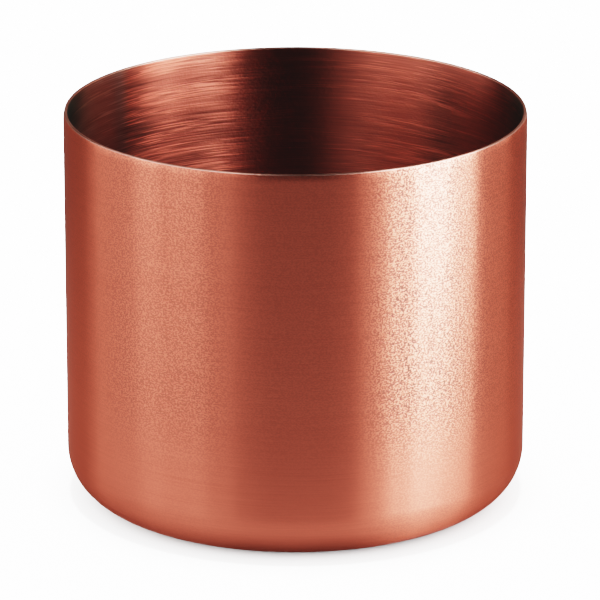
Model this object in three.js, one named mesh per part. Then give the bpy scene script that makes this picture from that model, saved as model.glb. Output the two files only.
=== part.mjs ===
// A straight-sided bar measure, drawn in one piece from thin sheet.
// Millimetres, +Z up. The cup stands on z = 0, centred on the Z axis.

import * as THREE from 'three';

// Driving dimensions
const OUTER_DIAMETER = 42.8;
const HEIGHT = 37.0;
const SHEET = 0.4; // the same thickness in the wall, the corner and the floor
const CORNER_RADIUS = 4.55; // outside radius where the wall turns into the base
const LIP_EDGE_RADIUS = 0.15; // the sheared edge is tumbled round on both sides
const DISH_RADIUS = 13.5; // the base is pressed up inside this radius
const DISH_DEPTH = 0.3; // so the cup stands on the flat ring outside it

// How finely the turned surface is divided
const TURNS = 96;
const CORNER_STEPS = 8;
const LIP_STEPS = 3;
const DISH_STEPS = 5;

const BRUSHED_COPPER = { color: 0xc4694c, roughness: 0.38, metalness: 1.0 };

const outerRadius = OUTER_DIAMETER / 2;
const innerRadius = outerRadius - SHEET;
const cornerCentre = outerRadius - CORNER_RADIUS;

// Points of a round stretch in the radial plane, both ends included.
function arc(centreR, centreZ, radius, from, to, steps) {
  const points = [];
  for (let i = 0; i <= steps; i += 1) {
    const angle = from + ((to - from) * i) / steps;
    const r = centreR + radius * Math.cos(angle);
    points.push(new THREE.Vector2(r, centreZ + radius * Math.sin(angle)));
  }
  return points;
}

// The pressed-up middle of the base, from its edge to the axis: a smooth dome.
function dish(baseZ) {
  const points = [];
  for (let i = 0; i <= DISH_STEPS; i += 1) {
    const r = DISH_RADIUS * (1 - i / DISH_STEPS);
    const rise = (DISH_DEPTH / 2) * (1 + Math.cos((Math.PI * r) / DISH_RADIUS));
    points.push(new THREE.Vector2(r, baseZ + rise));
  }
  return points;
}

// The sheet's outline: out under the base, up the outside, over the lip,
// down the inside and back to the axis across the floor.
function sheetOutline() {
  const quarter = Math.PI / 2;
  const lipZ = HEIGHT - LIP_EDGE_RADIUS;
  const outerLip = outerRadius - LIP_EDGE_RADIUS;
  const innerLip = innerRadius + LIP_EDGE_RADIUS;
  return [
    ...dish(0).reverse(),
    ...arc(cornerCentre, CORNER_RADIUS, CORNER_RADIUS, -quarter, 0, CORNER_STEPS),
    ...arc(outerLip, lipZ, LIP_EDGE_RADIUS, 0, quarter, LIP_STEPS),
    ...arc(innerLip, lipZ, LIP_EDGE_RADIUS, quarter, 2 * quarter, LIP_STEPS),
    ...arc(cornerCentre, CORNER_RADIUS, CORNER_RADIUS - SHEET, 0, -quarter, CORNER_STEPS),
    ...dish(SHEET),
  ];
}

function makeCup() {
  const geometry = new THREE.LatheGeometry(sheetOutline(), TURNS);
  geometry.rotateX(Math.PI / 2); // the lathe turns about Y; the cup stands along Z
  const cup = new THREE.Mesh(geometry, new THREE.MeshStandardMaterial(BRUSHED_COPPER));
  cup.name = 'cup';
  return cup;
}

const jigger = new THREE.Group();
jigger.name = 'bar_jigger';
jigger.add(makeCup());

export default jigger;
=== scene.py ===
"""The looks of a bar measure: one drawn cup, brushed copper inside and out, on a pale floor."""

import math

import bpy
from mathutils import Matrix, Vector


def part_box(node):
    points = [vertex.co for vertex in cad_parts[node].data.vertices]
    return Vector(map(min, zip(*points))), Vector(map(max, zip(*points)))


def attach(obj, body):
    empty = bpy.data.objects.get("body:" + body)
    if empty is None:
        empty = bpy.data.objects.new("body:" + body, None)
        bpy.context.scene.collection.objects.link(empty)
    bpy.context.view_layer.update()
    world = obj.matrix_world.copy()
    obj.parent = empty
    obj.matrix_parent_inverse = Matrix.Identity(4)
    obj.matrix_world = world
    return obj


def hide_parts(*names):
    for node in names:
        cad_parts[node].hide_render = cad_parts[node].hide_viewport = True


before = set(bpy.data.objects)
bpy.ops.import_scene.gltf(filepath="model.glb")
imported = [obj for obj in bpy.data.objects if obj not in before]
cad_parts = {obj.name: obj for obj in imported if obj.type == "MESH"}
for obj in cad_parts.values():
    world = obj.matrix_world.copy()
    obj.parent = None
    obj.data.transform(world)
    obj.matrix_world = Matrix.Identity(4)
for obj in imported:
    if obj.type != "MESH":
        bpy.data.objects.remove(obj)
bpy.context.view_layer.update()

# ---------------------------------------------------------------- sizes, in metres
MM = 0.001
cup_low, cup_high = (Vector(corner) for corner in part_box("cup"))
OUTER_RADIUS = (cup_high.x - cup_low.x) / 2
HEIGHT = cup_high.z - cup_low.z
SHEET = 0.4 * MM
CORNER_RADIUS = 4.55 * MM
LIP_EDGE_RADIUS = 0.15 * MM
ROLL_RADIUS = 2.4 * MM  # just below the lip the wall's outside rolls inwards
ROLL_ANGLE = 16  # degrees
DISH_RADIUS = 13.5 * MM
DISH_DEPTH = 0.3 * MM

# How finely the turned surface is divided
TURNS = 288
CORNER_STEPS = 24
WALL_STEPS = 24
DISH_STEPS = 18
LIP_STEPS = 8
UV_LAYER = "OFBake"

# ---------------------------------------------------------------- the cup's mesh


def arc(centre, radius, start, end, steps):
    """Points of a round stretch in the (r, z) plane, both ends included."""
    points = []
    for i in range(steps + 1):
        angle = math.radians(start + (end - start) * i / steps)
        points.append((centre[0] + radius * math.cos(angle), centre[1] + radius * math.sin(angle)))
    return points


def dish(base_z):
    """The pressed-up middle of the base, from its edge to just off the axis."""
    points = []
    for i in range(DISH_STEPS):
        r = DISH_RADIUS * (1 - i / DISH_STEPS)
        rise = DISH_DEPTH / 2 * (1 + math.cos(math.pi * r / DISH_RADIUS))
        points.append((r, base_z + rise))
    return points


def stretch(start, end, steps):
    """Points between two places, neither of them included."""
    shares = [i / steps for i in range(1, steps)]
    return [(start[0] + (end[0] - start[0]) * t, start[1] + (end[1] - start[1]) * t) for t in shares]


def sheet_outline():
    """Three lists of (r, z): the outside from the axis up, the lip, and the inside down to the axis."""
    corner = (OUTER_RADIUS - CORNER_RADIUS, CORNER_RADIUS)
    lip_z = HEIGHT - LIP_EDGE_RADIUS
    inner_radius = OUTER_RADIUS - SHEET
    roll_z = lip_z + (LIP_EDGE_RADIUS - ROLL_RADIUS) * math.sin(math.radians(ROLL_ANGLE))
    roll = arc((OUTER_RADIUS - ROLL_RADIUS, roll_z), ROLL_RADIUS, 0, ROLL_ANGLE, LIP_STEPS)
    outside = dish(0)[::-1] + arc(corner, CORNER_RADIUS, -90, 0, CORNER_STEPS)
    outside += stretch(outside[-1], roll[0], WALL_STEPS) + roll[:-1]
    outer_edge = roll[-1][0] - LIP_EDGE_RADIUS * math.cos(math.radians(ROLL_ANGLE))
    lip = arc((outer_edge, lip_z), LIP_EDGE_RADIUS, ROLL_ANGLE, 90, LIP_STEPS)
    lip += arc((inner_radius + LIP_EDGE_RADIUS, lip_z), LIP_EDGE_RADIUS, 90, 180, LIP_STEPS)
    inside = arc(corner, CORNER_RADIUS - SHEET, 0, -90, CORNER_STEPS) + dish(SHEET)
    inside = stretch((inner_radius, lip_z), inside[0], WALL_STEPS) + inside
    return outside, lip, inside


def lengths_along(points):
    """How far along the outline each point lies, as shares of its whole length."""
    run = [points[0][0]]
    for (r0, z0), (r1, z1) in zip(points, points[1:]):
        run.append(run[-1] + math.hypot(r1 - r0, z1 - z0))
    whole = run[-1] + points[-1][0]
    return [length / whole for length in run]


def turned_mesh(name, rings, first_z, last_z):
    """A closed surface turned round Z, ended on the axis at first_z and last_z.

    UV u runs round the cup and v along the outline.
    """
    verts = []
    for r, z in rings:
        for k in range(TURNS):
            angle = 2 * math.pi * k / TURNS
            verts.append((r * math.cos(angle), r * math.sin(angle), z))
    first = len(verts)
    verts += [(0, 0, first_z), (0, 0, last_z)]
    v_of = lengths_along(rings)
    faces, uvs = [], []
    for k in range(TURNS):
        u0, u1 = k / TURNS, (k + 1) / TURNS
        n = (k + 1) % TURNS
        faces.append((first, n, k))
        uvs.append(((u0, 0.0), (u1, v_of[0]), (u0, v_of[0])))
        for i in range(len(rings) - 1):
            a, b = i * TURNS, (i + 1) * TURNS
            faces.append((a + k, a + n, b + n, b + k))
            uvs.append(((u0, v_of[i]), (u1, v_of[i]), (u1, v_of[i + 1]), (u0, v_of[i + 1])))
        last = (len(rings) - 1) * TURNS
        faces.append((last + k, last + n, first + 1))
        uvs.append(((u0, v_of[-1]), (u1, v_of[-1]), (u0, 1.0)))
    mesh = bpy.data.meshes.new(name)
    mesh.from_pydata(verts, [], faces)
    layer = mesh.uv_layers.new(name=UV_LAYER)
    flat = [value for face in uvs for corner in face for value in corner]
    layer.data.foreach_set("uv", flat)
    mesh.shade_smooth()
    mesh.validate()
    return mesh


def make_cup():
    """The cup, with material 0 on its outside, 1 on its lip and 2 on its inside."""
    outside, lip, inside = sheet_outline()
    rings = outside + lip + inside
    mesh = turned_mesh("drawn_cup", rings, DISH_DEPTH, SHEET + DISH_DEPTH)
    edges = (len(outside) + 1, len(outside) + len(lip))  # where the next material starts
    bands = len(rings) + 1  # faces in each turn, from the axis to the axis
    for i, face in enumerate(mesh.polygons):
        band = i % bands
        face.material_index = sum(band >= edge for edge in edges)
    cup = bpy.data.objects.new("drawn_cup", mesh)
    bpy.context.scene.collection.objects.link(cup)
    return cup


cup = make_cup()

# ---------------------------------------------------------------- materials

# Where in the noise each texture is taken from, so that no two of them coincide
LINES_AT = 3.7
CLOUD_AT = 5.3
SCRATCHES_AT = 9.1
LEVEL_SCRATCHES_AT = 17.9
FIELD_PAST_LEAN = 2.3
GROUP_PAST_LEAN = 4.1

WHITE = (1.0, 1.0, 1.0)
OUTSIDE_EDGE_TINT = (1.0, 0.6, 0.52)
OUTSIDE_DARK = (0.74, 0.18, 0.122)
OUTSIDE_LIGHT = (1.0, 0.28, 0.19)
# a paler, yellower copper for the painted glints in the highlights
OUTSIDE_PAINTED_GLINT = (1.0, 0.38, 0.25)
# near black: painted shade in the pits
OUTSIDE_PAINTED_PIT_SHADE = (0.10, 0.07, 0.06)
LIP_EDGE_TINT = (1.0, 0.7, 0.62)
# paler, lighter copper on the lip than on the wall: painted highlight along the rim
LIP_PAINTED_HIGHLIGHT_DARK = (0.85, 0.42, 0.33)
LIP_PAINTED_HIGHLIGHT_LIGHT = (1.0, 0.57, 0.47)
INSIDE_EDGE_TINT = (0.3, 1.0, 1.0)
INSIDE_DARK = (0.25, 0.08, 0.06)
INSIDE_LIGHT = (1.0, 0.29, 0.205)
# a darker copper for the left inside and a browner, less red one for the far left, which lies in shade:
# painted shade
INSIDE_LEFT_PAINTED_SHADE = (0.95, 0.24, 0.165)
INSIDE_FAR_LEFT_PAINTED_SHADE = (0.78, 0.48, 0.40)


def add(tree, kind, **values):
    """A new node with its named properties set."""
    node = tree.nodes.new(kind)
    for name, value in values.items():
        setattr(node, name, value)
    return node


def feed(tree, socket, value):
    """Links a socket to an output, or sets it to a plain value or colour."""
    if isinstance(value, bpy.types.NodeSocket):
        tree.links.new(value, socket)
    elif socket.type == "RGBA":
        socket.default_value = (*value, 1)
    else:
        socket.default_value = value


def calc(tree, operation, *terms):
    """A Math node's output."""
    node = add(tree, "ShaderNodeMath", operation=operation)
    for socket, term in zip(node.inputs, terms):
        feed(tree, socket, term)
    return node.outputs[0]


def vector(tree, operation, *terms):
    """A Vector Math node's output."""
    node = add(tree, "ShaderNodeVectorMath", operation=operation)
    for socket, term in zip(node.inputs, terms):
        feed(tree, socket, term)
    return node.outputs["Value" if operation in ("LENGTH", "DISTANCE") else "Vector"]


def remap(tree, value, low, high):
    """A 0 to 1 output spread over low to high."""
    return calc(tree, "MULTIPLY_ADD", value, high - low, low)


def noise(tree, coords, detail, roughness=0.5):
    """Noise, 0 to 1, with features about one unit of coords across."""
    node = add(tree, "ShaderNodeTexNoise")
    feed(tree, node.inputs["Vector"], coords)
    node.inputs["Scale"].default_value = 1.0
    node.inputs["Detail"].default_value = detail
    node.inputs["Roughness"].default_value = roughness
    return node.outputs["Fac"]


class Sheet:
    """Places on the turned sheet: round the cup, and along its outline from the axis."""

    def __init__(self, tree):
        self.tree = tree
        place = add(tree, "ShaderNodeTexCoord").outputs["Object"]
        flat = vector(tree, "MULTIPLY", place, (1, 1, 0))
        self.round = vector(tree, "NORMALIZE", flat)
        parts = add(tree, "ShaderNodeSeparateXYZ")
        tree.links.new(place, parts.inputs[0])
        self.height = parts.outputs["Z"]
        self.across = parts.outputs["X"]
        self.along = calc(tree, "ADD", vector(tree, "LENGTH", flat), self.height)

    def cells(self, length, width, shift=0.0, wander=None):
        """Coordinates in which one unit is length round the cup and width across that."""
        tree = self.tree
        along = self.along if wander is None else calc(tree, "ADD", self.along, wander)
        across = add(tree, "ShaderNodeCombineXYZ")
        feed(tree, across.inputs["Z"], calc(tree, "MULTIPLY_ADD", along, 1 / width, shift))
        spread = vector(tree, "MULTIPLY", self.round, (OUTER_RADIUS / length,) * 3)
        return vector(tree, "ADD", spread, across.outputs[0])


def bump(tree, height, depth, normal=None):
    """A Bump node in which a height of 1 stands for depth in metres."""
    node = add(tree, "ShaderNodeBump")
    node.inputs["Strength"].default_value = 1.0
    node.inputs["Distance"].default_value = depth
    tree.links.new(height, node.inputs["Height"])
    if normal is not None:
        tree.links.new(normal, node.inputs["Normal"])
    return node.outputs[0]


def tint(tree, share, start, end):
    """A colour that goes from start to end as share goes from 0 to 1."""
    node = add(tree, "ShaderNodeMix", data_type="RGBA")
    tree.links.new(share, node.inputs["Factor"])
    feed(tree, node.inputs["A"], start)
    feed(tree, node.inputs["B"], end)
    return node.outputs["Result"]


def ramp(tree, value, start, end):
    """0 at start and before it, 1 at end and past it. End may be the lower of the two."""
    node = add(tree, "ShaderNodeMapRange", interpolation_type="SMOOTHSTEP")
    feed(tree, node.inputs["Value"], value)
    node.inputs["From Min"].default_value = start
    node.inputs["From Max"].default_value = end
    return node.outputs["Result"]


def scratches(tree, sheet, length, width, share, tilt, shift):
    """Separate scratches, 1 along each and 0 between them, in loose groups that all lean alike."""
    reach = 6 * length  # how far the scratches of one group keep their lean
    lean = noise(tree, sheet.cells(reach, reach, shift), 0.0)
    lean = remap(tree, lean, -reach * tilt, reach * tilt)
    field = noise(tree, sheet.cells(length, width, shift + FIELD_PAST_LEAN, lean), 1.0)
    group = noise(tree, sheet.cells(2 * length, 12 * width, shift + GROUP_PAST_LEAN, lean), 0.0)
    both = calc(tree, "MULTIPLY_ADD", group, 0.35, calc(tree, "MULTIPLY", field, 0.65))
    start = 0.62 - 0.2 * share
    return ramp(tree, both, start, start + 0.10)


def blank_copper(name, edge_tint, anisotropy):
    """Copper brushed round the cup, with its constants set and its textures still to come."""
    mat = bpy.data.materials.new(name)
    mat.use_nodes = True
    tree = mat.node_tree
    bsdf = tree.nodes["Principled BSDF"]
    bsdf.inputs["Metallic"].default_value = 1.0
    bsdf.inputs["Specular Tint"].default_value = (*edge_tint, 1)
    bsdf.inputs["Anisotropic"].default_value = anisotropy
    bsdf.inputs["Anisotropic Rotation"].default_value = 0.25
    tangent = add(tree, "ShaderNodeTangent", direction_type="RADIAL", axis="Z")
    tree.links.new(tangent.outputs[0], bsdf.inputs["Tangent"])
    return mat, tree, bsdf, Sheet(tree)


def grain_and_glint_mask(tree, sheet):
    """How deep the grain is outside, with its painted glints and the painted shade in its dents: most
    on the right and less on the left, where the highlights fall, and little at the foot.
    """
    foot_fade = calc(tree, "MULTIPLY_ADD", ramp(tree, sheet.height, 6 * MM, 16 * MM), 0.8, 0.2)
    # The right and left spans follow where the highlights fall, so this strength is placed by the
    # light.
    right = ramp(tree, sheet.across, 5 * MM, 10 * MM)
    right = calc(tree, "MULTIPLY_ADD", ramp(tree, sheet.across, 14 * MM, 18 * MM), -0.8, right)
    left = ramp(tree, sheet.across, -5 * MM, -9 * MM)
    left = calc(tree, "SUBTRACT", left, ramp(tree, sheet.across, -15 * MM, -19 * MM))
    deep = calc(tree, "MULTIPLY_ADD", right, 0.8, calc(tree, "MULTIPLY_ADD", left, 0.22, 0.1))
    return calc(tree, "MULTIPLY", deep, foot_fade)


def outside_copper():
    mat, tree, bsdf, sheet = blank_copper("copper_outside", OUTSIDE_EDGE_TINT, 1.0)
    lines = noise(tree, sheet.cells(8 * MM, 0.11 * MM, LINES_AT), 3.0, 0.65)
    grain = noise(tree, sheet.cells(0.18 * MM, 0.12 * MM), 1.0)
    cloud = noise(tree, sheet.cells(14 * MM, 5 * MM, CLOUD_AT), 2.0)
    scratch = scratches(tree, sheet, 5 * MM, 0.16 * MM, 0.3, 0.03, SCRATCHES_AT)
    deep = grain_and_glint_mask(tree, sheet)
    # Pits in the grain: real dents, with a near-black colour in them that is painted shade, placed
    # where the highlights fall.
    pits_and_painted_shade = calc(tree, "MULTIPLY", ramp(tree, grain, 0.53, 0.43), deep)
    # Light flecks in the grain where the highlights fall: painted glints.
    painted_glints = calc(tree, "MULTIPLY", ramp(tree, grain, 0.52, 0.64), deep)
    normal = bump(tree, lines, 0.008 * MM)
    normal = bump(tree, scratch, 0.002 * MM, normal)
    normal = bump(tree, pits_and_painted_shade, -0.004 * MM, normal)
    shade = calc(tree, "MULTIPLY_ADD", lines, 0.8, calc(tree, "MULTIPLY", cloud, 0.2))
    colour = tint(tree, shade, OUTSIDE_DARK, OUTSIDE_LIGHT)
    colour = tint(tree, painted_glints, colour, OUTSIDE_PAINTED_GLINT)
    colour = tint(tree, pits_and_painted_shade, colour, OUTSIDE_PAINTED_PIT_SHADE)
    tree.links.new(colour, bsdf.inputs["Base Color"])
    tree.links.new(remap(tree, lines, 0.27, 0.37), bsdf.inputs["Roughness"])
    tree.links.new(normal, bsdf.inputs["Normal"])
    return mat


def lip_copper():
    mat, tree, bsdf, sheet = blank_copper("copper_lip_painted_highlight", LIP_EDGE_TINT, 0.6)
    lines = noise(tree, sheet.cells(1.5 * MM, 0.10 * MM, LINES_AT), 3.0, 0.65)
    grain = noise(tree, sheet.cells(0.6 * MM, 0.3 * MM), 1.0)
    normal = bump(tree, lines, 0.008 * MM)
    normal = bump(tree, grain, 0.010 * MM, normal)
    # The lip's paler copper stands in for the highlight that the rounded rim catches: painted
    # highlight.
    tree.links.new(tint(tree, lines, LIP_PAINTED_HIGHLIGHT_DARK, LIP_PAINTED_HIGHLIGHT_LIGHT), bsdf.inputs["Base Color"])
    tree.links.new(remap(tree, lines, 0.30, 0.42), bsdf.inputs["Roughness"])
    tree.links.new(normal, bsdf.inputs["Normal"])
    return mat


def inside_mark_and_glint_weight(tree, sheet, left, far_left):
    """How heavy the brush marks are inside: most on the left, where the inside highlight falls, and
    less at both far sides, which lie in shade. The marks are real, but their colour contrast placed
    this way is partly painted glints and painted shade.
    """
    right = ramp(tree, sheet.across, 2 * MM, 9 * MM)
    far_right = ramp(tree, sheet.across, 13.5 * MM, 16.5 * MM)
    heavy = calc(tree, "MULTIPLY_ADD", left, 2.0, calc(tree, "MULTIPLY_ADD", right, 0.8, 0.4))
    heavy = calc(tree, "MULTIPLY_ADD", far_left, -1.6, heavy)
    return calc(tree, "MULTIPLY_ADD", far_right, -0.6, heavy)


def inside_scratches(tree, sheet):
    """Scratches of two kinds, some that lean and some nearly level."""
    rising = scratches(tree, sheet, 4.5 * MM, 0.13 * MM, 0.22, 0.05, SCRATCHES_AT)
    level = scratches(tree, sheet, 5.0 * MM, 0.12 * MM, 0.22, 0.01, LEVEL_SCRATCHES_AT)
    return calc(tree, "MAXIMUM", rising, level)


def inside_copper():
    mat, tree, bsdf, sheet = blank_copper("copper_inside", INSIDE_EDGE_TINT, 0.95)
    lines = noise(tree, sheet.cells(6 * MM, 0.14 * MM, LINES_AT), 2.0)
    grain = noise(tree, sheet.cells(0.3 * MM, 0.2 * MM), 1.0)
    cloud = noise(tree, sheet.cells(9 * MM, 2.5 * MM, CLOUD_AT), 1.0)
    left = ramp(tree, sheet.across, -3 * MM, -9 * MM)
    far_left = ramp(tree, sheet.across, -15.6 * MM, -16.8 * MM)
    heavy = inside_mark_and_glint_weight(tree, sheet, left, far_left)
    strokes = calc(tree, "MULTIPLY_ADD", lines, 0.7, calc(tree, "MULTIPLY", cloud, 0.3))
    strokes = calc(tree, "SUBTRACT", strokes, 0.5)
    marks = calc(tree, "MULTIPLY_ADD", inside_scratches(tree, sheet), 0.4, strokes)
    marks = calc(tree, "MULTIPLY", marks, heavy)
    normal = bump(tree, calc(tree, "MULTIPLY", strokes, heavy), 0.020 * MM)
    normal = bump(tree, grain, 0.015 * MM, normal)
    # Painted shade: on the left the inside's colour is made darker deeper down in the cup, where less
    # light reaches.
    deep = calc(tree, "MULTIPLY", ramp(tree, sheet.height, 36 * MM, 28 * MM), left)
    shade = calc(tree, "MULTIPLY_ADD", deep, -0.17, calc(tree, "ADD", marks, 0.4))
    # Painted shade: the left of the inside gets a darker copper, and the far left, which lies in shade,
    # a browner, less red one.
    bright = tint(tree, ramp(tree, sheet.across, -9 * MM, -14 * MM), INSIDE_LIGHT, INSIDE_LEFT_PAINTED_SHADE)
    bright = tint(tree, far_left, bright, INSIDE_FAR_LEFT_PAINTED_SHADE)
    tree.links.new(tint(tree, shade, INSIDE_DARK, bright), bsdf.inputs["Base Color"])
    tree.links.new(remap(tree, shade, 0.34, 0.42), bsdf.inputs["Roughness"])
    tree.links.new(normal, bsdf.inputs["Normal"])
    return mat


for copper in (outside_copper(), lip_copper(), inside_copper()):
    cup.data.materials.append(copper)
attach(cup, "root")
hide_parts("cup")

# ---------------------------------------------------------------- studio


CARD_DISTANCE = 0.5
LAMP_SIDE = 0.28  # as a share of the lamp's distance
MOUTH = (0, 0, 0.7 * HEIGHT)  # what the near lamps are turned to


def facing(place, target):
    """The turn that points a lamp or a camera from place to target."""
    return (Vector(target) - Vector(place)).to_track_quat("-Z", "Y")


def away(azimuth, elevation, distance, centre):
    """A place seen from centre. Azimuth 0 is towards the camera, 90 is +X."""
    a, e = math.radians(azimuth), math.radians(elevation)
    out = Vector((math.sin(a) * math.cos(e), -math.cos(a) * math.cos(e), math.sin(e)))
    return out * distance + Vector(centre)


def softbox(name, place, target, width, height, brightness):
    """A rectangular light, as bright at any size, that only the metal reflects."""
    light = bpy.data.lights.new(name, "AREA")
    light.shape = "RECTANGLE"
    light.size = width
    light.size_y = height
    light.energy = brightness * math.pi * width * height
    box = bpy.data.objects.new(name, light)
    box.location = place
    box.rotation_mode = "QUATERNION"
    box.rotation_quaternion = facing(place, target)
    box.visible_camera = False
    box.visible_diffuse = False
    bpy.context.scene.collection.objects.link(box)
    return box


def card(name, azimuths, elevations, brightness):
    """An upright softbox that fills a span of azimuth and a span of elevation."""
    first, last = azimuths
    bottom, top = (CARD_DISTANCE * math.tan(math.radians(e)) for e in elevations)
    width = 2 * CARD_DISTANCE * math.tan(math.radians(last - first) / 2)
    middle_z = HEIGHT / 2 + (bottom + top) / 2
    place = away((first + last) / 2, 0, CARD_DISTANCE, (0, 0, middle_z))
    return softbox(name, place, (0, 0, middle_z), width, top - bottom, brightness)


def lamp(name, azimuth, elevation, distance, brightness):
    """A small square softbox close to the cup's mouth."""
    side = LAMP_SIDE * distance
    return softbox(name, away(azimuth, elevation, distance, MOUTH), MOUTH, side, side, brightness)


# Angles are in degrees. A lamp's distance comes before its brightness.
card("left_low", (-120, -30), (0, 15), 1.15)
card("left_low_front", (-60, -38), (0, 12), 0.55)
card("left_low_side", (-112, -58), (0, 8), 2.3)
card("left_back", (-155, -105), (0, 7), 0.65)
card("left_high", (-120, -30), (30, 60), 1.0)
card("right_low", (30, 105), (0, 15), 0.5)
card("right_low_front", (30, 50), (0, 15), 1.2)
card("right_low_side", (90, 125), (0, 4), 5.4)
card("right_mid", (20, 100), (15, 32), 0.5)
card("right_mid_back", (112, 150), (15, 32), 0.3)
card("right_high", (45, 100), (30, 60), 0.7)
card("right_back", (125, 160), (0, 4), 1.9)
card("back", (165, 195), (10, 30), 0.3)
lamp("key", 60, 4, 0.07, 23.5)
lamp("key_front", 50, 4, 0.11, 9.5)
lamp("key_side", 80, 4, 0.11, 8.0)
lamp("key_above", 70, 12, 0.11, 6.0)
lamp("key_above_side", 80, 12, 0.11, 6.0)
lamp("inside_front", 48, 32, 0.18, 8.0)
lamp("inside_right", 65, 32, 0.18, 2.5)
lamp("inside_side", 80, 32, 0.18, 3.0)
lamp("inside_back", 95, 32, 0.18, 3.0)
lamp("inside_left_front", -35, 50, 0.13, 3.5)
lamp("inside_left", -50, 12, 0.13, 2.1)
lamp("inside_left_side", -70, 12, 0.13, 2.1)

# The one softbox that lights the floor, and that the metal doesn't reflect
over = softbox("floor_light", (0, 0, 2.0), (0, 0, 0), 0.30, 0.30, 700.0)
over.visible_glossy = False
over.visible_diffuse = True


FLOOR_HALF = 3.0
FLOOR_GAP = 0.02 * MM  # keeps the floor and the cup's base from coinciding
FLOOR_GREY = 0.9
PAINTED_POOL_CENTRE = (2 * MM, -12 * MM, 0)
ROOM_BRIGHTNESS = 0.005  # what the metal reflects between the softboxes
DOME_BRIGHTNESS = 6.0  # what lights the floor from all round


def reflected_grey(tree):
    """The floor as the metal reflects it, with a painted pool of light: dim far off, and brightest
    under the cup's front.
    """
    place = add(tree, "ShaderNodeTexCoord").outputs["Object"]
    from_painted_pool = vector(tree, "DISTANCE", place, PAINTED_POOL_CENTRE)
    grey = calc(tree, "MULTIPLY_ADD", ramp(tree, from_painted_pool, 130 * MM, 70 * MM), 0.020, 0.018)
    return calc(tree, "MULTIPLY_ADD", ramp(tree, from_painted_pool, 28 * MM, 12 * MM), 0.036, grey)


def floor_material():
    mat = bpy.data.materials.new("floor")
    mat.use_nodes = True
    tree = mat.node_tree
    tree.nodes.clear()
    pale = add(tree, "ShaderNodeBsdfDiffuse")
    feed(tree, pale.inputs["Color"], (FLOOR_GREY,) * 3)
    dim = add(tree, "ShaderNodeBsdfDiffuse")
    feed(tree, dim.inputs["Color"], reflected_grey(tree))
    by_ray = add(tree, "ShaderNodeMixShader")
    tree.links.new(add(tree, "ShaderNodeLightPath").outputs["Is Glossy Ray"], by_ray.inputs[0])
    tree.links.new(pale.outputs[0], by_ray.inputs[1])
    tree.links.new(dim.outputs[0], by_ray.inputs[2])
    out = add(tree, "ShaderNodeOutputMaterial")
    tree.links.new(by_ray.outputs[0], out.inputs["Surface"])
    return mat


def make_floor():
    half = FLOOR_HALF
    corners = [(-half, -half, 0), (half, -half, 0), (half, half, 0), (-half, half, 0)]
    mesh = bpy.data.meshes.new("floor")
    mesh.from_pydata(corners, [], [(0, 1, 2, 3)])
    mesh.materials.append(floor_material())
    floor = bpy.data.objects.new("floor", mesh)
    floor.location.z = -FLOOR_GAP
    bpy.context.scene.collection.objects.link(floor)
    return floor


def make_world():
    """A dim room for the metal and a bright dome for the floor."""
    world = bpy.data.worlds.new("studio")
    world.use_nodes = True
    tree = world.node_tree
    room = tree.nodes["Background"]
    dome = add(tree, "ShaderNodeBackground")
    for background, brightness in ((room, ROOM_BRIGHTNESS), (dome, DOME_BRIGHTNESS)):
        feed(tree, background.inputs["Color"], WHITE)
        background.inputs["Strength"].default_value = brightness
    by_ray = add(tree, "ShaderNodeMixShader")
    tree.links.new(add(tree, "ShaderNodeLightPath").outputs["Is Diffuse Ray"], by_ray.inputs[0])
    tree.links.new(room.outputs[0], by_ray.inputs[1])
    tree.links.new(dome.outputs[0], by_ray.inputs[2])
    tree.links.new(by_ray.outputs[0], tree.nodes["World Output"].inputs["Surface"])
    return world


make_floor()
bpy.context.scene.world = make_world()

# ---------------------------------------------------------------- camera

CAMERA_DISTANCE = 22.6 * OUTER_RADIUS
CAMERA_ELEVATION = 18.2  # degrees
CAMERA_SHIFT = (0.0077, -0.0022)
FOCAL_LENGTH = 311.2  # mm
SENSOR_WIDTH = 36  # mm
NEAREST_SEEN = 0.01
BLACK_LEVEL = -0.018  # below 0, so the deepest darks are lifted as by a slight haze

cup_middle = (0, 0, HEIGHT / 2)
lens = bpy.data.cameras.new("camera")
lens.lens = FOCAL_LENGTH
lens.sensor_width = SENSOR_WIDTH
lens.shift_x, lens.shift_y = CAMERA_SHIFT
lens.clip_start = NEAREST_SEEN
camera = bpy.data.objects.new("camera", lens)
camera.location = away(0, CAMERA_ELEVATION, CAMERA_DISTANCE, cup_middle)
camera.rotation_mode = "QUATERNION"
camera.rotation_quaternion = facing(camera.location, cup_middle)
bpy.context.scene.collection.objects.link(camera)
bpy.context.scene.camera = camera

view = bpy.context.scene.view_settings
view.view_transform = "Filmic"
view.look = "Very High Contrast"
view.use_curve_mapping = True
view.curve_mapping.black_level = (BLACK_LEVEL,) * 3
view.curve_mapping.update()
